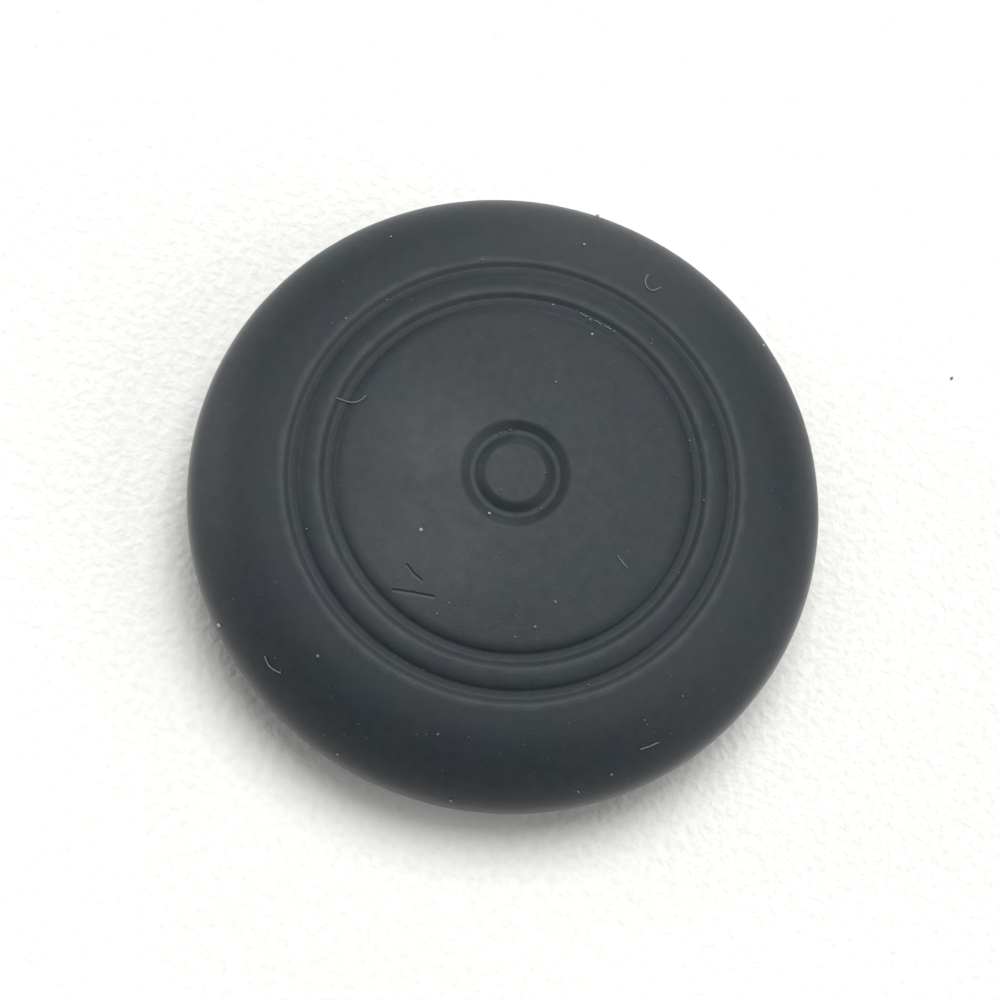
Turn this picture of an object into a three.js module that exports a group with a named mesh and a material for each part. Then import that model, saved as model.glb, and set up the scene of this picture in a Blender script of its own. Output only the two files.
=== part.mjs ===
// Slip-on thumb grip for a controller's stick: one moulded rubber cap.
// Millimetres, +Z up. The origin is the middle of the lip that the cap rests on.
// The section is drawn once, from the middle of the crown out over the rim, under the lip
// and back through the hollow, and is turned about the Z axis.
import * as THREE from "three";

// Outside
const outerDiameter = 20; // across the widest line of the rim
const totalHeight = 6; // resting lip to the middle of the crown
const rimHeight = 2.55; // resting lip to the widest line
const crownRadius = 32; // the shallow dome of the whole top
const shoulderReach = 5; // half width of the oval that rounds the shoulder
const rimEdgeRound = 0.45; // where the rim turns in under its widest line
const underLean = 30; // degrees that the underside leans in from upright
const restDiameter = 16; // outer edge of the ring that rests on a table

// Groove round the centre button, outwards from where the button starts to round over
const buttonDiameter = 1.78;
const centreEdgeRun = 0.35; // out to the foot of the button's wall
const centreWallLean = 0.25; // how far that wall leans out from the crown to its foot
const centreFloorWidth = 0.16;
const centreRiseRun = 0.56; // from the foot out to the crest beyond the groove
const centreGrooveDepth = 0.17; // below the crown

// Two ring grooves, outwards from where the thumb disc starts to round over
const discDiameter = 10.38;
const ringEdgeRun = 0.42;
const ringWallLean = 0.13;
const ringFloorWidth = 0.23;
const ringRiseRun = 0.54;
const ringGrooveDepth = 0.135;
const landWidth = 0.14; // crown left between the two

// Rounded corners of all three grooves
const browShare = 0.6; // how much of the inner wall the rounded edge above it takes
const footRound = 0.04; // at both sides of the floor
const crestRound = 0.1; // where the outer wall meets the crown again

// Hollow that takes the stick's head
const wallThickness = 1.15; // rim and shoulder
const lipThickness = 1.1;
const lipOverhang = 1.85; // how far the lip hooks in under the stick's head
const lipEdgeRound = 0.35;
const hollowCornerRound = 1;

// How finely the section and its turn are drawn
const turnSegments = 64;
const buttonSteps = 2;
const discSteps = 4;
const landSteps = 1;
const edgeSteps = 4;
const footSteps = 2;
const crestSteps = 3;
const shoulderSteps = 10;
const rimEdgeSteps = 2;
const underSteps = 5;
const cornerSteps = 3;
const ceilingSteps = 6;

const outerRadius = outerDiameter / 2;
const hollowRadius = outerRadius - wallThickness;
const mouthRadius = hollowRadius - lipOverhang;

const crownCentre = totalHeight - crownRadius;
const crownHeight = (radius) => crownCentre + Math.sqrt(crownRadius ** 2 - radius ** 2);
const onCrown = (radius) => new THREE.Vector2(radius, crownHeight(radius));

const line = (from, to) => ({ curve: new THREE.LineCurve(from, to), steps: 1 });
const bend = (from, corner, to, steps) => ({
  curve: new THREE.QuadraticBezierCurve(from, corner, to),
  steps,
});
const oval = (centre, halfWidth, halfHeight, start, end, steps) => ({
  curve: new THREE.EllipseCurve(
    centre.x, centre.y, halfWidth, halfHeight, start, end, end < start),
  steps,
});

// The stretch of the crown between two radii.
function crownArc(from, to, steps) {
  const centre = new THREE.Vector2(0, crownCentre);
  return oval(
    centre, crownRadius, crownRadius,
    Math.acos(from / crownRadius), Math.acos(to / crownRadius), steps);
}

// The rounded corner between two walls, starting and ending the same reach from it.
function fillet(before, corner, after, reach, steps) {
  const towards = (point) => corner.clone().add(point.clone().sub(corner).setLength(reach));
  return bend(towards(before), corner, towards(after), steps);
}

// The rounded corners, with a straight stretch from each to the next.
function joined(corners) {
  return corners.flatMap((corner, index) =>
    index === 0 ? [corner] : [line(corners[index - 1].curve.v2, corner.curve.v0), corner]);
}

// Over a rounded edge, down a wall to a narrow floor that follows the crown, and up again.
function groove(edgeRadius, edgeRun, wallLean, floorWidth, riseRun, depth) {
  const footRadius = edgeRadius + edgeRun;
  const crestRadius = footRadius + riseRun;
  const floorEndRadius = footRadius + floorWidth;
  const brow = onCrown(footRadius - wallLean);
  const foot = new THREE.Vector2(footRadius, crownHeight(footRadius) - depth);
  const floorEnd = new THREE.Vector2(floorEndRadius, crownHeight(floorEndRadius) - depth);
  const riseTop = onCrown(crestRadius - crestRound);
  return joined([
    bend(onCrown(edgeRadius), brow, brow.clone().lerp(foot, browShare), edgeSteps),
    fillet(brow, foot, floorEnd, footRound, footSteps),
    fillet(foot, floorEnd, riseTop, footRound, footSteps),
    fillet(floorEnd, riseTop, onCrown(crestRadius), crestRound, crestSteps),
  ]);
}

// Where the crown comes back between the grooves.
const buttonRadius = buttonDiameter / 2;
const centreCrestRadius = buttonRadius + centreEdgeRun + centreRiseRun;
const discRadius = discDiameter / 2;
const landRadius = discRadius + ringEdgeRun + ringRiseRun;
const landEdgeRadius = landRadius + landWidth;
const shoulderRadius = landEdgeRadius + ringEdgeRun + ringRiseRun;

// The oval that rounds the shoulder: its end is the widest line, and it passes through the crest.
const shoulderCrest = onCrown(shoulderRadius);
const shoulderStart = Math.acos(
  1 - (outerRadius - shoulderCrest.x) / shoulderReach);
const shoulderRise = (shoulderCrest.y - rimHeight) / Math.sin(shoulderStart);
const shoulderCentre = new THREE.Vector2(outerRadius - shoulderReach, rimHeight);
const ceilingHeight = rimHeight + shoulderRise - wallThickness;

function outside() {
  const ringGroove = (edgeRadius) => groove(
    edgeRadius, ringEdgeRun, ringWallLean, ringFloorWidth, ringRiseRun, ringGrooveDepth);
  return [
    crownArc(0, buttonRadius, buttonSteps),
    ...groove(
      buttonRadius, centreEdgeRun, centreWallLean, centreFloorWidth, centreRiseRun,
      centreGrooveDepth),
    crownArc(centreCrestRadius, discRadius, discSteps),
    ...ringGroove(discRadius),
    crownArc(landRadius, landEdgeRadius, landSteps),
    ...ringGroove(landEdgeRadius),
    oval(shoulderCentre, shoulderReach, shoulderRise, shoulderStart, 0, shoulderSteps),
  ];
}

// The lip's inner edge, where it meets the ledge that hooks under the stick's head.
const lipRound = Math.min(lipEdgeRound, lipThickness / 2);
const throatTop = new THREE.Vector2(mouthRadius, lipThickness - lipRound);
const ledgeInner = new THREE.Vector2(mouthRadius + lipRound, lipThickness);

// From the widest line in under the rim, along the ring that rests, and up through the mouth.
function lip() {
  const lean = THREE.MathUtils.degToRad(underLean);
  const edgeCentre = new THREE.Vector2(outerRadius - rimEdgeRound, rimHeight);
  const underTop = new THREE.Vector2(
    edgeCentre.x + rimEdgeRound * Math.cos(lean), rimHeight - rimEdgeRound * Math.sin(lean));
  const underCorner = new THREE.Vector2(underTop.x - underTop.y * Math.tan(lean), 0);
  const restOuter = new THREE.Vector2(Math.min(restDiameter / 2, underCorner.x), 0);
  const restInner = new THREE.Vector2(mouthRadius + lipRound, 0);
  const mouthCorner = new THREE.Vector2(mouthRadius, 0);
  const throatBottom = new THREE.Vector2(mouthRadius, lipRound);
  const throatCorner = new THREE.Vector2(mouthRadius, lipThickness);
  return [
    oval(edgeCentre, rimEdgeRound, rimEdgeRound, 0, -lean, rimEdgeSteps),
    bend(underTop, underCorner, restOuter, underSteps),
    line(restOuter, restInner),
    bend(restInner, mouthCorner, throatBottom, cornerSteps),
    line(throatBottom, throatTop),
    bend(throatTop, throatCorner, ledgeInner, cornerSteps),
  ];
}

// Out along the ledge, up the inside of the rim, and over to the flat that the head seats on.
function hollow() {
  const ledgeOuter = new THREE.Vector2(hollowRadius - hollowCornerRound, lipThickness);
  const ledgeCorner = new THREE.Vector2(hollowRadius, lipThickness);
  const wallBottom = new THREE.Vector2(hollowRadius, lipThickness + hollowCornerRound);
  const wallTop = new THREE.Vector2(hollowRadius, rimHeight);
  const ceilingEdge = new THREE.Vector2(shoulderCentre.x, ceilingHeight);
  const ceilingMiddle = new THREE.Vector2(0, ceilingHeight);
  return [
    line(ledgeInner, ledgeOuter),
    bend(ledgeOuter, ledgeCorner, wallBottom, cornerSteps),
    line(wallBottom, wallTop),
    oval(
      shoulderCentre, shoulderReach - wallThickness, shoulderRise - wallThickness,
      0, Math.PI / 2, ceilingSteps),
    line(ceilingEdge, ceilingMiddle),
  ];
}

// The points of the section, each stretch starting where the last one ended.
function sectionPoints(stretches) {
  const points = stretches.flatMap(({ curve, steps }) => curve.getPoints(steps).slice(1));
  return [new THREE.Vector2(0, totalHeight), ...points];
}

function turned(points) {
  const fromBelow = [...points].reverse();
  return new THREE.LatheGeometry(fromBelow, turnSegments).rotateX(Math.PI / 2);
}

const darkRubber = new THREE.MeshStandardMaterial({
  color: 0x4a4f53,
  roughness: 0.6,
  metalness: 0,
});

const gripCap = new THREE.Mesh(
  turned(sectionPoints([...outside(), ...lip(), ...hollow()])), darkRubber);
gripCap.name = "grip_cap";

const thumbGrip = new THREE.Group();
thumbGrip.add(gripCap);

export default thumbGrip;
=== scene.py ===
"""A rubber thumb grip for a controller's stick, dusty from use, lying on white paper."""

import math

import bpy
from mathutils import Matrix, Vector
from mathutils.bvhtree import BVHTree


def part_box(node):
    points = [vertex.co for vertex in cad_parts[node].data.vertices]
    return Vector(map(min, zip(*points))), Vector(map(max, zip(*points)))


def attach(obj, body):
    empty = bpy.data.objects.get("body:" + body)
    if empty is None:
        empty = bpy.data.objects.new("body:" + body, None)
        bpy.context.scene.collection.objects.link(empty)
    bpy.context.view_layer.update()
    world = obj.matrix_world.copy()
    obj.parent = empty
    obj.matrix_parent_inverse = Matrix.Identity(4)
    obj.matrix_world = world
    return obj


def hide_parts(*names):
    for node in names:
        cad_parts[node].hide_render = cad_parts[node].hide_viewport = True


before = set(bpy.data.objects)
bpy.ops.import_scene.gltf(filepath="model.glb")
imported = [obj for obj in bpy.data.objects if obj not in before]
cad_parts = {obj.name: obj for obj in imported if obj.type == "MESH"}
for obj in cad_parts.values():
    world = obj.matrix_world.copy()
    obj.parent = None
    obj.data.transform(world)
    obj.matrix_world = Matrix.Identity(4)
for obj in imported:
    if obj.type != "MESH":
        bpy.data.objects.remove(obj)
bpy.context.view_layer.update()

MM = 0.001

# The cap's driving sizes, in millimetres. The two overall ones come from the frame.
cap_low, cap_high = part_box("grip_cap")
outer_radius = (cap_high.x - cap_low.x) / 2 / MM
total_height = (cap_high.z - cap_low.z) / MM
rim_height = 2.55
crown_radius = 32
shoulder_reach = 5.0
rim_edge_round = 0.45
under_lean = 30
rest_radius = 8.0

# Groove round the centre button, outwards from where the button starts to round over: to the foot
# of its wall, how far that wall leans out on its way down, the floor, and from the foot to the
# crest beyond.
button_radius = 0.89
centre_edge_run = 0.35
centre_wall_lean = 0.25
centre_floor_width = 0.16
centre_rise_run = 0.56
centre_groove_depth = 0.17

# Two ring grooves, outwards from where the thumb disc starts to round over.
disc_radius = 5.19
ring_edge_run = 0.42
ring_wall_lean = 0.13
ring_floor_width = 0.23
ring_rise_run = 0.54
ring_groove_depth = 0.135
land_width = 0.14

# Rounded corners of all three grooves.
brow_share = 0.6
foot_round = 0.04
crest_round = 0.1

# Where the crown comes back between the grooves.
centre_crest_radius = button_radius + centre_edge_run + centre_rise_run
land_radius = disc_radius + ring_edge_run + ring_rise_run
land_edge_radius = land_radius + land_width
shoulder_radius = land_edge_radius + ring_edge_run + ring_rise_run

wall_thickness = 1.15
lip_thickness = 1.1
lip_overhang = 1.85
lip_round = 0.35
hollow_corner_round = 1.0

# How finely the section and its turn are drawn.
button_steps = 6
disc_steps = 18
land_steps = 2
edge_steps = 12
foot_steps = 3
crest_steps = 5
shoulder_steps = 36
rim_edge_steps = 10
under_steps = 16
rest_steps = 3
corner_steps = 6
ceiling_round_steps = 14
ceiling_steps = 5
turn_steps = 288

# The photograph's frame and where the crown's middle lies in it, in its pixels. The camera's
# distance from the crown is in millimetres, and its angles are in degrees.
FRAME_PIXELS = 1000
CROWN_PIXEL = (515.9, 472)
PIXELS_PER_MM = 32.52
CAMERA_DISTANCE = 130
CAMERA_ELEVATION = 73.2
CAMERA_ROLL = 20.3

# Dirt on the cap, as (x, y, width in mm), with x and y in the photograph's pixels.
BRIGHT_SPECKS = [
    (489, 514, 0.13), (421, 530, 0.13), (556, 382, 0.08), (597, 217, 0.16), (220, 625, 0.16),
    (763, 346, 0.12), (592, 334.5, 0.1), (553, 305, 0.1), (584, 245, 0.1), (391, 237, 0.08),
]
DULL_SPECKS = [
    (577, 311, 0.1), (590, 320, 0.12), (608, 328, 0.1), (614, 332, 0.12), (651, 344, 0.1),
    (482, 260, 0.08), (346, 319, 0.1), (307, 529, 0.1), (437, 614, 0.11), (419, 580, 0.1),
    (515, 637, 0.1), (535, 627, 0.12), (555, 602, 0.12), (588, 685, 0.1), (318, 656, 0.12),
    (438, 734, 0.12), (338, 754, 0.1), (451, 800, 0.14), (644, 720, 0.12), (682, 696, 0.1),
    (611, 774, 0.14), (578, 791, 0.12), (689, 441, 0.12), (541, 509, 0.1), (510, 430, 0.1),
    (500, 433, 0.08), (545, 473, 0.08), (501, 490, 0.08), (679, 573, 0.08), (449, 603, 0.1),
    (500, 554, 0.09), (386, 300, 0.08), (704, 500, 0.08), (640, 338, 0.09), (652, 340, 0.08),
]

# Lint, each fibre as the pixels that it passes through.
FIBRE_THICKNESS = 0.05
LINT_FIBRES = [
    [(336, 398), (344, 401), (352, 403), (360, 401), (366, 396)],
    [(617, 556), (622, 562), (627, 568)],
    [(265, 656), (269, 665), (275, 670), (281, 673)],
    [(640, 749), (649, 746), (658, 742)],
    [(648, 275), (645, 281), (647, 288), (653, 291), (660, 288)],
    [(580, 313), (584, 316), (588, 317)],
    [(594, 321), (597, 322), (601, 325)],
    [(604, 326), (607, 328), (611, 330)],
]

# Fine cuts in the disc, each as the pixels that it passes through.
CUTS = [[(407, 564), (413, 572), (422, 580)], [(393, 589), (413, 592), (434, 596)]]
CUT_HALF_WIDTH = 0.035
CUT_DEPTH = 0.03

# A painted highlight beside each cut, on its side that faces the light, this many pixels down the
# picture.
CUT_HIGHLIGHT_PIXELS = 2.5
CUT_HIGHLIGHT_HALF_WIDTH = 0.05

# Where the thumb has polished the disc, and where the disc is painted paler as a painted sheen, as
# (x, y, radius in mm).
WORN_AND_SHEEN_PATCHES = [(415, 545, 4.0), (425, 440, 3.4)]

# The height in millimetres above which a thumb touches the cap.
TOUCHED_HEIGHT = 4.42

# The band that the thumb rides over, on the shoulder, and the two crests that it rubs. The band is
# painted paler partly for wear and partly as a painted sheen, and the crests partly for wear and
# partly as painted highlights.
ridden_and_sheen_radius = shoulder_radius + 0.4
RIDDEN_AND_SHEEN_HALF_WIDTH = 1.1
RIDDEN_AND_SHEEN_SHARE = 0.22
CREST_HALF_WIDTH = 0.16

# Dust and a painted reflection of the paper on the rim's upright face thin out from the low height
# to the high one, in millimetres.
dust_and_reflection_low = rim_height + 0.15
dust_and_reflection_high = rim_height + 1.0
DUST_AND_REFLECTION_SHARE = 0.4

# The height at which the painted shade of the underside has gone over into the rest.
underside_shade_high = rim_height + 0.2

# A crumb on the paper, as (x, y, width in mm).
CRUMBS = [(951.5, 378.5, 0.17)]

# How far a grain's middle lies off the surface, as a share of its width.
GRAIN_LIFT = 0.25

# The sheet that the cap lies on, in millimetres.
PAPER_WIDTH = 1000

# Lamps, as (name, azimuth, zenith, strength, width). Azimuth 0 is the far side and 90 the right,
# and zenith 0 is straight above.
LAMPS = [
    ("overhead softbox", 0, 17, 0.67 * math.pi, 38),
    ("left softbox", -90, 26, 0.15 * math.pi, 40),
    ("right softbox", 90, 26, 0.08 * math.pi, 40),
    ("far wall", 0, 76, 0.22 * math.pi, 34),
    ("right wall", 90, 60, 0.26 * math.pi, 45),
    ("left skirting", -90, 80, 0.33 * math.pi, 30),
]
AMBIENT = 0.02


def crown_height(radius):
    return total_height - crown_radius + math.sqrt(crown_radius**2 - radius**2)


def on_crown(radius):
    return (radius, crown_height(radius))


def crown_arc(start, end, steps):
    """The stretch of the crown between two radii, without its first point."""
    return [on_crown(start + (end - start) * step / steps) for step in range(1, steps + 1)]


def oval(centre, reach, rise, start, end, steps):
    """Part of an oval, between two angles in degrees, without its first point."""
    turns = [math.radians(start + (end - start) * step / steps) for step in range(1, steps + 1)]
    return [(centre[0] + reach * math.cos(t), centre[1] + rise * math.sin(t)) for t in turns]


def bend(corners, steps):
    """A Bezier curve through its first and last corner, without its first point."""
    points = []
    for step in range(1, steps + 1):
        share = step / steps
        hull = corners
        while len(hull) > 1:
            hull = [
                (a[0] + (b[0] - a[0]) * share, a[1] + (b[1] - a[1]) * share)
                for a, b in zip(hull, hull[1:])
            ]
        points += hull
    return points


def towards(start, end, share):
    """The point a share of the way between two points."""
    return (start[0] + (end[0] - start[0]) * share, start[1] + (end[1] - start[1]) * share)


def fillet(before, corner, after, reach, steps):
    """Rounds a corner, starting and ending `reach` millimetres from it."""
    first = towards(corner, before, reach / math.dist(corner, before))
    last = towards(corner, after, reach / math.dist(corner, after))
    return [first] + bend([first, corner, last], steps)


def groove(edge, edge_run, wall_lean, floor_width, rise_run, depth):
    """Over a rounded edge, down a wall to a narrow floor that follows the crown, and up again."""
    foot = edge + edge_run
    crest = foot + rise_run
    floor_end = foot + floor_width
    top = on_crown(foot - wall_lean)
    low = (foot, crown_height(foot) - depth)
    low_end = (floor_end, crown_height(floor_end) - depth)
    rise_top = on_crown(crest - crest_round)
    return (
        bend([on_crown(edge), top, towards(top, low, brow_share)], edge_steps)
        + fillet(top, low, low_end, foot_round, foot_steps)
        + fillet(low, low_end, rise_top, foot_round, foot_steps)
        + fillet(low_end, rise_top, on_crown(crest), crest_round, crest_steps)
    )


def ring_groove(edge):
    return groove(
        edge, ring_edge_run, ring_wall_lean, ring_floor_width, ring_rise_run, ring_groove_depth)


def outside():
    """The shoulder's rise, and the section of the crown, grooves, shoulder and tucked-in rim."""
    crest_height = crown_height(shoulder_radius)
    start = math.degrees(math.acos(1 - (outer_radius - shoulder_radius) / shoulder_reach))
    rise = (crest_height - rim_height) / math.sin(math.radians(start))
    shoulder_centre = (outer_radius - shoulder_reach, rim_height)
    edge = oval(
        (outer_radius - rim_edge_round, rim_height), rim_edge_round, rim_edge_round,
        0, -under_lean, rim_edge_steps)
    under_x, under_z = edge[-1]
    under_corner = (under_x - under_z * math.tan(math.radians(under_lean)), 0)
    return rise, (
        crown_arc(0, button_radius, button_steps)
        + groove(
            button_radius, centre_edge_run, centre_wall_lean, centre_floor_width,
            centre_rise_run, centre_groove_depth)
        + crown_arc(centre_crest_radius, disc_radius, disc_steps)
        + ring_groove(disc_radius)
        + crown_arc(land_radius, land_edge_radius, land_steps)
        + ring_groove(land_edge_radius)
        + oval(shoulder_centre, shoulder_reach, rise, start, 0, shoulder_steps)
        + edge
        + bend([edge[-1], under_corner, (rest_radius, 0)], under_steps)
    )


def inside(shoulder_rise):
    """Section of the resting ring, the lip's mouth and the hollow, back to the axis."""
    hollow_radius = outer_radius - wall_thickness
    mouth = hollow_radius - lip_overhang
    top = lip_thickness
    ceiling = rim_height + shoulder_rise - wall_thickness
    centre = (outer_radius - shoulder_reach, rim_height)
    rest = bend([(rest_radius, 0), (mouth + lip_round, 0)], rest_steps)
    throat_top = (mouth, top - lip_round)
    ledge_end = (hollow_radius - hollow_corner_round, top)
    wall_foot = (hollow_radius, top + hollow_corner_round)
    return (
        rest
        + bend([rest[-1], (mouth, 0), (mouth, lip_round)], corner_steps)
        + [throat_top]
        + bend([throat_top, (mouth, top), (mouth + lip_round, top)], corner_steps)
        + [ledge_end]
        + bend([ledge_end, (hollow_radius, top), wall_foot], corner_steps)
        + [(hollow_radius, rim_height)]
        + oval(
            centre, shoulder_reach - wall_thickness, shoulder_rise - wall_thickness,
            0, 90, ceiling_round_steps)
        + bend([(centre[0], ceiling), (0, ceiling)], ceiling_steps)
    )


def section_mesh():
    """The whole section as a chain of points in the plane of X and Z, in metres."""
    rise, top = outside()
    points = [(0, total_height)] + top + inside(rise)
    mesh = bpy.data.meshes.new("cap section")
    mesh.from_pydata(
        [(r * MM, 0, z * MM) for r, z in points], [(i, i + 1) for i in range(len(points) - 1)], [])
    return mesh


def add(tree, kind, inputs=None, **settings):
    """A new node with its settings. An input is a value, or a socket to link, by name or number."""
    node = tree.nodes.new(kind)
    for name, value in settings.items():
        setattr(node, name, value)
    for name, value in (inputs or {}).items():
        if isinstance(value, bpy.types.NodeSocket):
            tree.links.new(value, node.inputs[name])
        else:
            node.inputs[name].default_value = value
    return node


def node_group(name, inputs):
    """An empty Geometry Nodes tree with named inputs, given as (name, type)."""
    tree = bpy.data.node_groups.new(name, "GeometryNodeTree")
    tree.interface.new_socket(name="Geometry", in_out="INPUT", socket_type="NodeSocketGeometry")
    for label, kind in inputs:
        tree.interface.new_socket(name=label, in_out="INPUT", socket_type="NodeSocket" + kind)
    tree.interface.new_socket(name="Geometry", in_out="OUTPUT", socket_type="NodeSocketGeometry")
    return tree, tree.nodes.new("NodeGroupInput").outputs


def end_group(tree, geometry, material):
    """Realizes what the tree made, gives it its material and sends it out."""
    real = add(tree, "GeometryNodeRealizeInstances", {"Geometry": geometry})
    dressed = add(tree, "GeometryNodeSetMaterial", {
        "Geometry": real.outputs[0],
        "Material": material,
    })
    add(tree, "NodeGroupOutput", {"Geometry": dressed.outputs[0]})


def grown(name, mesh, tree, values):
    """Runs a tree on a mesh and gives the result as a plain mesh object."""
    piece = bpy.data.objects.new(name, mesh)
    bpy.context.scene.collection.objects.link(piece)
    modifier = piece.modifiers.new(name, "NODES")
    modifier.node_group = tree
    for item in tree.interface.items_tree:
        if item.in_out == "INPUT" and item.name in values:
            modifier[item.identifier] = values[item.name]
    piece.update_tag()
    depsgraph = bpy.context.evaluated_depsgraph_get()
    result = bpy.data.meshes.new_from_object(piece.evaluated_get(depsgraph))
    piece.modifiers.remove(modifier)
    piece.data = result
    return piece


def turning_tree():
    """Turns a section about the Z axis and lets its surface wander a little, as soft rubber does.

    The wander fades out towards the foot, which lies flat.
    """
    tree, given = node_group("turn a section", [
        ("Turn steps", "Int"),
        ("Weld distance", "Float"),
        ("Wander", "Float"),
        ("Wander size", "Float"),
        ("Flat foot", "Float"),
        ("Seed", "Float"),
        ("Material", "Material"),
    ])
    points = add(tree, "GeometryNodeAttributeDomainSize", {"Geometry": given["Geometry"]})
    columns = add(tree, "FunctionNodeIntegerMath", {0: given["Turn steps"], 1: 1}, operation="ADD")
    grid = add(tree, "GeometryNodeMeshGrid", {
        "Vertices X": points.outputs["Point Count"],
        "Vertices Y": columns.outputs[0],
    })
    index = add(tree, "GeometryNodeInputIndex")
    row = add(tree, "FunctionNodeIntegerMath", {0: index.outputs[0], 1: columns.outputs[0]},
              operation="DIVIDE_FLOOR")
    column = add(tree, "FunctionNodeIntegerMath", {0: index.outputs[0], 1: columns.outputs[0]},
                 operation="MODULO")
    place = add(tree, "GeometryNodeInputPosition")
    section = add(tree, "GeometryNodeSampleIndex", {
        "Geometry": given["Geometry"],
        "Value": place.outputs[0],
        "Index": row.outputs[0],
    }, data_type="FLOAT_VECTOR")
    share = add(tree, "ShaderNodeMath", {0: column.outputs[0], 1: given["Turn steps"]},
                operation="DIVIDE")
    angle = add(tree, "ShaderNodeMath", {0: share.outputs[0], 1: math.tau}, operation="MULTIPLY")
    turned = add(tree, "ShaderNodeVectorRotate", {
        "Vector": section.outputs[0],
        "Angle": angle.outputs[0],
    }, rotation_type="Z_AXIS")
    body = add(tree, "GeometryNodeSetPosition", {
        "Geometry": grid.outputs["Mesh"],
        "Position": turned.outputs[0],
    })
    closed = add(tree, "GeometryNodeMergeByDistance", {
        "Geometry": body.outputs[0],
        "Distance": given["Weld distance"],
    })
    shift = add(tree, "ShaderNodeCombineXYZ", {"X": given["Seed"]})
    here = add(tree, "ShaderNodeVectorMath", {0: place.outputs[0], 1: shift.outputs[0]},
               operation="ADD")
    fineness = add(tree, "ShaderNodeMath", {0: 1.0, 1: given["Wander size"]}, operation="DIVIDE")
    noise = add(tree, "ShaderNodeTexNoise", {
        "Vector": here.outputs[0],
        "Scale": fineness.outputs[0],
        "Detail": 2.0,
    })
    centred = add(tree, "ShaderNodeMath", {0: noise.outputs[0], 1: 0.5}, operation="SUBTRACT")
    height = add(tree, "ShaderNodeSeparateXYZ", {"Vector": place.outputs[0]})
    standing = add(tree, "ShaderNodeMapRange", {
        "Value": height.outputs["Z"],
        "From Max": given["Flat foot"],
        "To Max": given["Wander"],
    })
    lift = add(tree, "ShaderNodeMath", {0: centred.outputs[0], 1: standing.outputs[0]},
               operation="MULTIPLY")
    normal = add(tree, "GeometryNodeInputNormal")
    offset = add(tree, "ShaderNodeVectorMath", {0: normal.outputs[0], "Scale": lift.outputs[0]},
                 operation="SCALE")
    soft = add(tree, "GeometryNodeSetPosition", {
        "Geometry": closed.outputs[0],
        "Offset": offset.outputs[0],
    })
    smooth = add(tree, "GeometryNodeSetShadeSmooth", {"Geometry": soft.outputs[0]})
    end_group(tree, smooth.outputs[0], given["Material"])
    return tree


def grains_on(tree, points, seed, thinnest):
    """A small rough grain on each point, as wide as the point's "width", turned at random."""
    grain = add(tree, "GeometryNodeMeshIcoSphere", {"Radius": 0.5, "Subdivisions": 1})
    spin = add(tree, "FunctionNodeRandomValue", {
        "Max": (math.tau, math.tau, math.tau),
        "Seed": seed,
    }, data_type="FLOAT_VECTOR")
    width = add(tree, "GeometryNodeInputNamedAttribute", {"Name": "width"}, data_type="FLOAT")
    squeeze = add(tree, "FunctionNodeRandomValue", {
        2: thinnest,
        3: 1.0,
        "Seed": seed,
    }, data_type="FLOAT")
    narrow = add(tree, "ShaderNodeMath", {0: width.outputs[0], 1: squeeze.outputs[1]},
                 operation="MULTIPLY")
    size = add(tree, "ShaderNodeCombineXYZ", {
        "X": width.outputs[0],
        "Y": narrow.outputs[0],
        "Z": narrow.outputs[0],
    })
    grains = add(tree, "GeometryNodeInstanceOnPoints", {
        "Points": points,
        "Instance": grain.outputs["Mesh"],
        "Rotation": spin.outputs[0],
        "Scale": size.outputs[0],
    })
    return grains.outputs[0]


def speck_tree():
    """Puts a grain of dust on each vertex."""
    tree, given = node_group("dust specks", [
        ("Thinnest", "Float"),
        ("Seed", "Int"),
        ("Material", "Material"),
    ])
    grains = grains_on(tree, given["Geometry"], given["Seed"], given["Thinnest"])
    end_group(tree, grains, given["Material"])
    return tree


def settled_tree():
    """Scatters fine dust over the faces that look up."""
    tree, given = node_group("settled dust", [
        ("Density", "Float"),
        ("Least upward", "Float"),
        ("Finest", "Float"),
        ("Coarsest", "Float"),
        ("Thinnest", "Float"),
        ("Seed", "Int"),
        ("Material", "Material"),
    ])
    normal = add(tree, "GeometryNodeInputNormal")
    upward = add(tree, "ShaderNodeSeparateXYZ", {"Vector": normal.outputs[0]})
    level = add(tree, "FunctionNodeCompare", {
        0: upward.outputs["Z"],
        1: given["Least upward"],
    }, operation="GREATER_THAN", data_type="FLOAT")
    points = add(tree, "GeometryNodeDistributePointsOnFaces", {
        "Mesh": given["Geometry"],
        "Selection": level.outputs[0],
        "Density": given["Density"],
        "Seed": given["Seed"],
    })
    span = add(tree, "FunctionNodeRandomValue", {
        2: given["Finest"],
        3: given["Coarsest"],
        "Seed": given["Seed"],
    }, data_type="FLOAT")
    sized = add(tree, "GeometryNodeStoreNamedAttribute", {
        "Geometry": points.outputs["Points"],
        "Name": "width",
        "Value": span.outputs[1],
    }, data_type="FLOAT", domain="POINT")
    grains = grains_on(tree, sized.outputs[0], given["Seed"], given["Thinnest"])
    end_group(tree, grains, given["Material"])
    return tree


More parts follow.
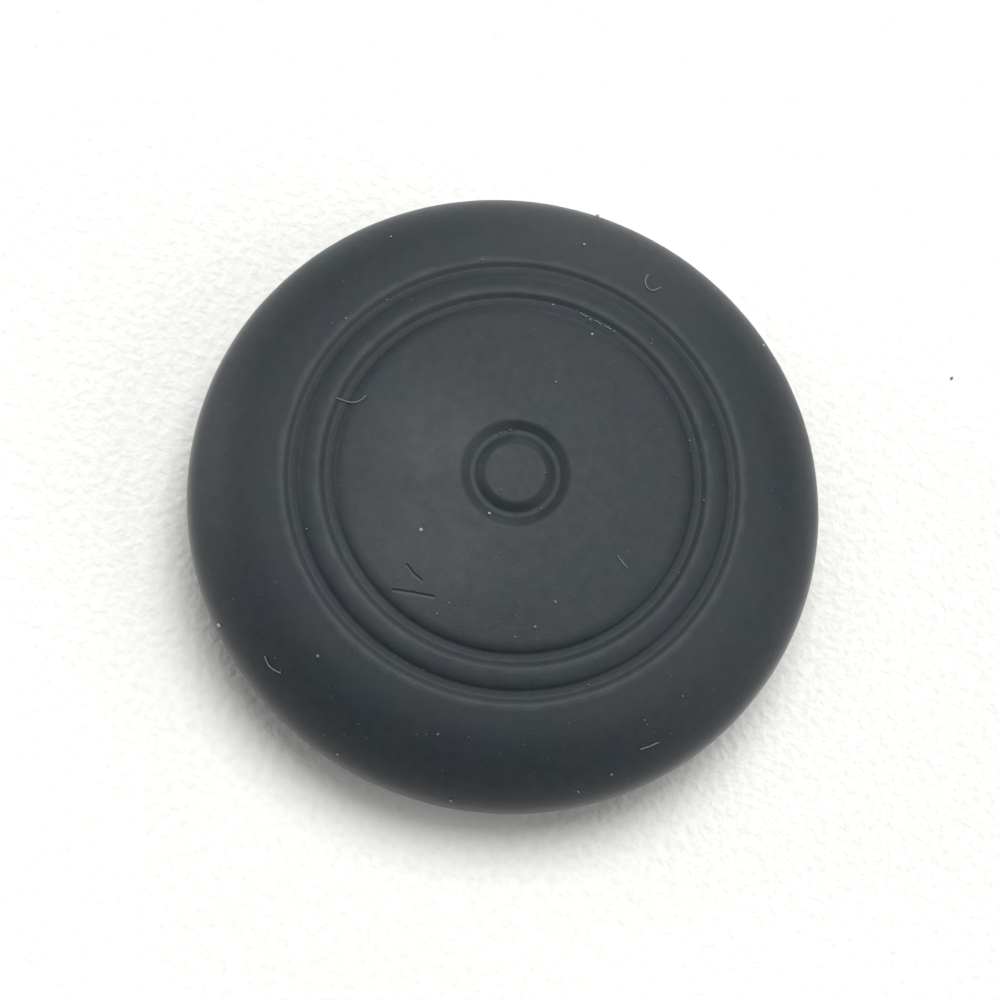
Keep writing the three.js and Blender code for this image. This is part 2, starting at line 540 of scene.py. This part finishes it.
def fibre_tree():
    """Lays a thin round fibre along each chain of points."""
    tree, given = node_group("lint fibres", [
        ("Thickness", "Float"),
        ("Step", "Float"),
        ("Material", "Material"),
    ])
    chains = add(tree, "GeometryNodeMeshToCurve", {"Mesh": given["Geometry"]})
    flowing = add(tree, "GeometryNodeCurveSplineType", {"Curve": chains.outputs[0]},
                  spline_type="CATMULL_ROM")
    fine = add(tree, "GeometryNodeResampleCurve", {
        "Curve": flowing.outputs[0],
        "Length": given["Step"],
    }, mode="LENGTH")
    radius = add(tree, "ShaderNodeMath", {0: given["Thickness"], 1: 0.5}, operation="MULTIPLY")
    ring = add(tree, "GeometryNodeCurvePrimitiveCircle", {
        "Resolution": 6,
        "Radius": radius.outputs[0],
    })
    fibres = add(tree, "GeometryNodeCurveToMesh", {
        "Curve": fine.outputs[0],
        "Profile Curve": ring.outputs[0],
        "Fill Caps": True,
    })
    smooth = add(tree, "GeometryNodeSetShadeSmooth", {"Geometry": fibres.outputs[0]})
    end_group(tree, smooth.outputs[0], given["Material"])
    return tree


def colour(code):
    """An sRGB hex code as linear red, green, blue and alpha."""
    shares = [int(code[i:i + 2], 16) / 255 for i in (1, 3, 5)]
    linear = [s / 12.92 if s <= 0.04045 else ((s + 0.055) / 1.055) ** 2.4 for s in shares]
    return (*linear, 1.0)


def new_material(name):
    """A material's tree and its shader."""
    material = bpy.data.materials.new(name)
    material.use_nodes = True
    return material, material.node_tree, material.node_tree.nodes["Principled BSDF"]


def blotches(tree, place, size, detail, low, high):
    """A soft pattern with features about `size` mm wide, from low to high."""
    wave = add(tree, "ShaderNodeTexNoise", {
        "Vector": place,
        "Scale": 1 / (size * MM),
        "Detail": detail,
    })
    return add(tree, "ShaderNodeMapRange", {
        "Value": wave.outputs[0],
        "From Min": 0.3,
        "From Max": 0.7,
        "To Min": low,
        "To Max": high,
    }).outputs[0]


def fading(tree, distance, reach):
    """A mask that is 1 where the distance is nothing and fades to 0 at `reach` mm."""
    return add(tree, "ShaderNodeMapRange", {
        "Value": distance,
        "From Max": reach * MM,
        "To Min": 1.0,
        "To Max": 0.0,
    }, interpolation_type="SMOOTHSTEP").outputs[0]


def near_spot(tree, place, centre, radius):
    """A mask that is 1 at a point and fades to 0 at `radius` mm from it."""
    distance = add(tree, "ShaderNodeVectorMath", {0: place, 1: centre}, operation="DISTANCE")
    return fading(tree, distance.outputs["Value"], radius)


def near_line(tree, place, start, end, half_width):
    """A mask that is 1 on a straight line between two points and fades out on both sides."""
    along = end - start
    offset = add(tree, "ShaderNodeVectorMath", {0: place, 1: start}, operation="SUBTRACT")
    share = add(tree, "ShaderNodeVectorMath", {
        0: offset.outputs[0],
        1: along / along.length_squared,
    }, operation="DOT_PRODUCT")
    held = add(tree, "ShaderNodeClamp", {"Value": share.outputs["Value"]})
    nearest = add(tree, "ShaderNodeVectorMath", {0: along, "Scale": held.outputs[0]},
                  operation="SCALE")
    distance = add(tree, "ShaderNodeVectorMath", {0: offset.outputs[0], 1: nearest.outputs[0]},
                   operation="DISTANCE")
    return fading(tree, distance.outputs["Value"], half_width)


def near_ring(tree, reach, radius, half_width):
    """A mask that is 1 at a radius and fades out on both sides."""
    past = add(tree, "ShaderNodeMath", {0: reach, 1: radius * MM}, operation="SUBTRACT")
    distance = add(tree, "ShaderNodeMath", {0: past.outputs[0]}, operation="ABSOLUTE")
    return fading(tree, distance.outputs[0], half_width)


def combined(tree, masks):
    """The strongest of several masks at each place."""
    whole = masks[0]
    for mask in masks[1:]:
        whole = add(tree, "ShaderNodeMath", {0: whole, 1: mask}, operation="MAXIMUM").outputs[0]
    return whole


def layered(tree, base, layers):
    """Colours laid over a base one after another, each given as (share, hex code)."""
    for share, code in layers:
        base = add(tree, "ShaderNodeMix", {0: share, 6: base, 7: colour(code)},
                   data_type="RGBA").outputs[2]
    return base


def moulded_rubber(worn_and_sheen_spots, cuts, highlit_sides):
    """Silicone rubber from a finely blasted mould: matt, smoother where a thumb has polished it,
    and with painted sheen, highlights, reflection and shade in its colour.
    """
    material, tree, shader = new_material("moulded silicone rubber")
    place = add(tree, "ShaderNodeTexCoord").outputs["Object"]
    shader.inputs["IOR"].default_value = 1.41
    shader.inputs["Specular IOR Level"].default_value = 0.32
    shader.inputs["Sheen Weight"].default_value = 0.36
    shader.inputs["Sheen Roughness"].default_value = 0.3

    # The near-black drifts between a greenish, a plain and a bluish grey, as skin oil stains it.
    bluish = blotches(tree, place, size=3.4, detail=1.0, low=0.0, high=1.0)
    plain = blotches(tree, place, size=2.1, detail=1.0, low=0.0, high=0.8)

    # Wear brings up a smoother skin in cloudy patches under the thumb. The same patches are painted
    # paler, partly for the wear and partly as a painted sheen.
    patches = combined(tree, [near_spot(tree, place, centre, radius) for centre, radius in worn_and_sheen_spots])
    clouds = blotches(tree, place, size=0.9, detail=3.0, low=0.55, high=1.0)
    wear_and_painted_sheen = add(tree, "ShaderNodeMath", {0: patches, 1: clouds}, operation="MULTIPLY").outputs[0]

    # A thin, uneven film of dust.
    film = blotches(tree, place, size=0.35, detail=4.0, low=0.0, high=0.17)

    # Paler where the thumb rides over onto the shoulder, and on the two crests that rub: partly
    # wear, and partly a painted sheen on the shoulder and painted highlights on the crests. The
    # ceiling of the hollow lies lower than all of that, and none shows on it.
    height = add(tree, "ShaderNodeSeparateXYZ", {"Vector": place}).outputs["Z"]
    touched = add(tree, "ShaderNodeMath", {0: height, 1: TOUCHED_HEIGHT * MM},
                  operation="GREATER_THAN").outputs[0]
    plan = add(tree, "ShaderNodeVectorMath", {0: place, 1: (1.0, 1.0, 0.0)}, operation="MULTIPLY")
    length = add(tree, "ShaderNodeVectorMath", {0: plan.outputs[0]}, operation="LENGTH")
    reach = length.outputs["Value"]
    ridden_and_sheen_band = near_ring(tree, reach, ridden_and_sheen_radius, RIDDEN_AND_SHEEN_HALF_WIDTH)
    ridden_and_sheen_band = add(tree, "ShaderNodeMath", {0: ridden_and_sheen_band, 1: touched}, operation="MULTIPLY").outputs[0]
    ridden_and_painted_sheen = add(tree, "ShaderNodeMath", {0: ridden_and_sheen_band, 1: RIDDEN_AND_SHEEN_SHARE},
                operation="MULTIPLY").outputs[0]
    crests = combined(tree, [
        near_ring(tree, reach, radius, CREST_HALF_WIDTH)
        for radius in (land_radius, shoulder_radius)
    ])
    crests = add(tree, "ShaderNodeMath", {0: crests, 1: touched}, operation="MULTIPLY").outputs[0]
    crest_breakup = blotches(tree, place, size=0.6, detail=3.0, low=0.0, high=0.35)
    rubbed_and_highlit = add(tree, "ShaderNodeMath", {0: crests, 1: crest_breakup}, operation="MULTIPLY").outputs[0]

    # Warm grey on the rim's upright face, partly dust and partly a painted reflection of the paper.
    # None lies under the widest line, where the rubber is painted darker as painted shade.
    dust_and_reflection = add(tree, "ShaderNodeMapRange", {
        "Value": height,
        "From Min": dust_and_reflection_low * MM,
        "From Max": dust_and_reflection_high * MM,
        "To Min": DUST_AND_REFLECTION_SHARE,
        "To Max": 0.0,
    }, interpolation_type="SMOOTHSTEP").outputs[0]
    # The rubber under the widest line is painted much darker, as painted shade.
    painted_underside_shade = add(tree, "ShaderNodeMapRange", {
        "Value": height,
        "From Min": rim_height * MM,
        "From Max": underside_shade_high * MM,
        "To Min": 1.0,
        "To Max": 0.0,
    }, interpolation_type="SMOOTHSTEP").outputs[0]

    # Fine cuts: each painted dark as painted shade, with a painted highlight beside each.
    cut_highlights = combined(tree, [
        near_line(tree, place, start, end, CUT_HIGHLIGHT_HALF_WIDTH) for start, end in highlit_sides])
    cut_and_painted_shade = combined(tree, [
        near_line(tree, place, start, end, CUT_HALF_WIDTH) for start, end in cuts])

    base = layered(tree, colour("#283335"), [
        (bluish, "#2c3138"),
        (plain, "#2f3236"),
        # The worn patches: partly wear, partly a painted sheen.
        (wear_and_painted_sheen, "#3a4044"),
        (film, "#464b4e"),
        # The shoulder band and the crests: partly wear, partly painted sheen and painted
        # highlights.
        (ridden_and_painted_sheen, "#484d50"),
        (rubbed_and_highlit, "#555b5e"),
        # The rim's upright face: partly dust, partly a painted reflection of the paper.
        (dust_and_reflection, "#5a5955"),
        # Painted shade under the widest line.
        (painted_underside_shade, "#121416"),
        # Painted highlights beside the cuts, then painted shade in them.
        (cut_highlights, "#4d5356"),
        (cut_and_painted_shade, "#212528"),
    ])
    tree.links.new(base, shader.inputs["Base Color"])

    # The blasted mould's grain shows as a faint mottle in the shine, smoother on the wear.
    mottle = blotches(tree, place, size=0.3, detail=3.0, low=0.46, high=0.53)
    polish = add(tree, "ShaderNodeMath", {0: wear_and_painted_sheen, 1: -0.03, 2: mottle}, operation="MULTIPLY_ADD")
    tree.links.new(polish.outputs[0], shader.inputs["Roughness"])

    # Real blasting is finer than this grain, which is drawn coarser to hold up in a picture.
    grain = blotches(tree, place, size=0.09, detail=3.0, low=0.0, high=1.0)
    blasted = add(tree, "ShaderNodeBump", {
        "Height": grain,
        "Strength": 1.0,
        "Distance": 0.003 * MM,
    })
    cut_open = add(tree, "ShaderNodeBump", {
        "Height": cut_and_painted_shade,
        "Strength": 1.0,
        "Distance": CUT_DEPTH * MM,
        "Normal": blasted.outputs[0],
    }, invert=True)
    tree.links.new(cut_open.outputs[0], shader.inputs["Normal"])
    return material


def loose_matter(name, code):
    """Dull, dry matter of one colour: dust, lint or a crumb."""
    material, tree, shader = new_material(name)
    place = add(tree, "ShaderNodeTexCoord").outputs["Object"]
    shade = blotches(tree, place, size=0.1, detail=2.0, low=0.7, high=1.0)
    dull = add(tree, "ShaderNodeVectorMath", {0: colour(code)[:3], "Scale": shade},
               operation="SCALE")
    tree.links.new(dull.outputs[0], shader.inputs["Base Color"])
    shader.inputs["Roughness"].default_value = 0.9
    return material


def paper():
    """White uncoated paper with a fine tooth, which gives it a soft, uneven white.

    A faint glow, seen by the camera and in reflections only, takes the lit side to the
    photograph's white, and the shadow stays.
    """
    material, tree, shader = new_material("white uncoated paper")
    place = add(tree, "ShaderNodeTexCoord").outputs["Object"]
    fibres = blotches(tree, place, size=0.3, detail=5.0, low=0.0, high=1.0)
    pulp = layered(tree, colour("#f4f4ef"), [(fibres, "#fffffd")])
    tree.links.new(pulp, shader.inputs["Base Color"])
    tooth = add(tree, "ShaderNodeBump", {
        "Height": fibres,
        "Strength": 1.0,
        "Distance": 0.035 * MM,
    })
    tree.links.new(tooth.outputs[0], shader.inputs["Normal"])
    shader.inputs["Roughness"].default_value = 0.9
    path = add(tree, "ShaderNodeLightPath").outputs
    mirrored = add(tree, "ShaderNodeMath", {
        0: path["Is Glossy Ray"],
        1: path["Is Transmission Ray"],
    }, operation="MAXIMUM")
    seen = add(tree, "ShaderNodeMath", {0: path["Is Camera Ray"], 1: mirrored.outputs[0]},
               operation="MAXIMUM")
    tree.links.new(seen.outputs[0], shader.inputs["Emission Strength"])
    shader.inputs["Emission Color"].default_value = colour("#2a2a2a")
    return material


def make_camera():
    """Above the cap and a little to its near side, rolled as the photograph was."""
    elevation = math.radians(CAMERA_ELEVATION)
    roll = math.radians(CAMERA_ROLL)
    back = Vector((0, -math.cos(elevation), math.sin(elevation)))
    level = Vector((1, 0, 0))
    upright = back.cross(level)
    right = level * math.cos(roll) + upright * math.sin(roll)
    up = upright * math.cos(roll) - level * math.sin(roll)
    crown = Vector((0, 0, total_height * MM))
    aside = (CROWN_PIXEL[0] - FRAME_PIXELS / 2) / PIXELS_PER_MM * MM
    above = (FRAME_PIXELS / 2 - CROWN_PIXEL[1]) / PIXELS_PER_MM * MM
    place = crown + back * CAMERA_DISTANCE * MM - right * aside - up * above
    camera = bpy.data.cameras.new("camera")
    camera.angle = 2 * math.atan(FRAME_PIXELS / 2 / PIXELS_PER_MM / CAMERA_DISTANCE)
    camera.clip_start = 0.005
    holder = bpy.data.objects.new("camera", camera)
    holder.matrix_world = Matrix((right, up, back)).transposed().to_4x4()
    holder.location = place
    bpy.context.scene.collection.objects.link(holder)
    bpy.context.scene.camera = holder
    return place, right, up, back


def pixel_ray(x, y):
    """The direction from the camera through a pixel of the photograph."""
    aside = (x - FRAME_PIXELS / 2) / PIXELS_PER_MM / CAMERA_DISTANCE
    above = (FRAME_PIXELS / 2 - y) / PIXELS_PER_MM / CAMERA_DISTANCE
    return (camera_right * aside + camera_up * above - camera_back).normalized()


def surface_tree(piece):
    """A piece's surface, for finding what lies under a pixel."""
    mesh = piece.data
    return BVHTree.FromPolygons(
        [vertex.co.copy() for vertex in mesh.vertices],
        [tuple(face.vertices) for face in mesh.polygons])


def under_pixel(surface, x, y, lift=0.0):
    """The point of a surface that a pixel shows, lifted off it by some millimetres."""
    point, normal = surface.ray_cast(camera_place, pixel_ray(x, y))[:2]
    return point + normal * lift * MM


def stretches_under(surface, chains, down):
    """The straight stretches under chains of pixels, moved down the picture by some pixels."""
    chained = [[under_pixel(surface, x, y + down) for x, y in chain] for chain in chains]
    return [pair for points in chained for pair in zip(points, points[1:])]


def points_mesh(name, places, edges=(), widths=()):
    """Loose or chained points, with a width for each where it is given."""
    mesh = bpy.data.meshes.new(name)
    mesh.from_pydata(places, list(edges), [])
    if widths:
        mesh.attributes.new("width", "FLOAT", "POINT").data.foreach_set("value", widths)
    return mesh


def soft_sun(name, azimuth, zenith, strength, width):
    """A far, wide lamp."""
    lamp = bpy.data.lights.new(name, "SUN")
    lamp.energy = strength
    lamp.angle = math.radians(width)
    holder = bpy.data.objects.new(name, lamp)
    a, z = math.radians(azimuth), math.radians(zenith)
    to_lamp = Vector((math.sin(a) * math.sin(z), math.cos(a) * math.sin(z), math.cos(z)))
    holder.rotation_euler = to_lamp.to_track_quat("Z", "Y").to_euler()
    bpy.context.scene.collection.objects.link(holder)


def make_world(ambient):
    """Dim even light, with a white backdrop for the camera."""
    world = bpy.data.worlds.new("studio")
    world.use_nodes = True
    tree = world.node_tree
    background = tree.nodes["Background"]
    path = add(tree, "ShaderNodeLightPath")
    seen = add(tree, "ShaderNodeMix", {
        0: path.outputs["Is Camera Ray"],
        "A": ambient,
        "B": 1.0,
    }, data_type="FLOAT")
    tree.links.new(seen.outputs[0], background.inputs["Strength"])
    background.inputs["Color"].default_value = (1.0, 1.0, 1.0, 1.0)
    bpy.context.scene.world = world


def make_floor(width):
    """A flat sheet of paper that reaches past the frame on all sides."""
    mesh = bpy.data.meshes.new("paper")
    h = width / 2 * MM
    mesh.from_pydata([(-h, -h, 0), (h, -h, 0), (h, h, 0), (-h, h, 0)], [], [(0, 1, 2, 3)])
    mesh.materials.append(paper())
    floor = bpy.data.objects.new("paper", mesh)
    bpy.context.scene.collection.objects.link(floor)
    return floor


def make_cap():
    """The cap, without its material, which needs the places of the wear and cuts on it."""
    return grown("thumb_cap", section_mesh(), turning_tree(), {
        "Turn steps": turn_steps,
        "Weld distance": 0.001 * MM,
        "Wander": 0.03 * MM,
        "Wander size": 1.6 * MM,
        "Flat foot": 0.5 * MM,
        "Seed": 3.0,
    })


def make_specks(name, surface, specks, material, seed):
    """Single grains of dust where the photograph shows them."""
    places = [under_pixel(surface, x, y, GRAIN_LIFT * width) for x, y, width in specks]
    widths = [width * MM for x, y, width in specks]
    return grown(name, points_mesh(name, places, widths=widths), speck_tree(), {
        "Thinnest": 0.5,
        "Seed": seed,
        "Material": material,
    })


def make_fibres(name, surface, chains, material):
    """Lint that lies along the surface."""
    places, edges = [], []
    for chain in chains:
        first = len(places)
        places += [under_pixel(surface, x, y, FIBRE_THICKNESS / 2) for x, y in chain]
        edges += [(i, i + 1) for i in range(first, len(places) - 1)]
    return grown(name, points_mesh(name, places, edges), fibre_tree(), {
        "Thickness": FIBRE_THICKNESS * MM,
        "Step": 0.06 * MM,
        "Material": material,
    })


camera_place, camera_right, camera_up, camera_back = make_camera()

cap = make_cap()
surface = surface_tree(cap)
worn_and_sheen_spots = [(under_pixel(surface, x, y), radius) for x, y, radius in WORN_AND_SHEEN_PATCHES]
cuts = stretches_under(surface, CUTS, 0)
highlit_sides = stretches_under(surface, CUTS, CUT_HIGHLIGHT_PIXELS)
cap.data.materials.clear()
cap.data.materials.append(moulded_rubber(worn_and_sheen_spots, cuts, highlit_sides))
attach(cap, "root")
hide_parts("grip_cap")

settled = grown("settled_dust", cap.data.copy(), settled_tree(), {
    "Density": 1.1e6,
    "Least upward": 0.5,
    "Finest": 0.02 * MM,
    "Coarsest": 0.055 * MM,
    "Thinnest": 0.5,
    "Seed": 11,
    "Material": loose_matter("fine grey dust", "#666c6f"),
})
bright = make_specks(
    "pale_specks", surface, BRIGHT_SPECKS, loose_matter("pale household dust", "#b4b8b8"), 5)
dull = make_specks(
    "dull_specks", surface, DULL_SPECKS, loose_matter("dull household dust", "#757b7e"), 8)
lint = make_fibres(
    "lint_fibres", surface, LINT_FIBRES, loose_matter("cotton lint", "#777d80"))
for loose in (settled, bright, dull, lint):
    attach(loose, "root")

floor = make_floor(PAPER_WIDTH)
crumbs = make_specks(
    "crumb", surface_tree(floor), CRUMBS, loose_matter("crumb", "#8a8a86"), 2)
for lamp in LAMPS:
    soft_sun(*lamp)
make_world(AMBIENT)
bpy.context.scene.view_settings.view_transform = "Standard"
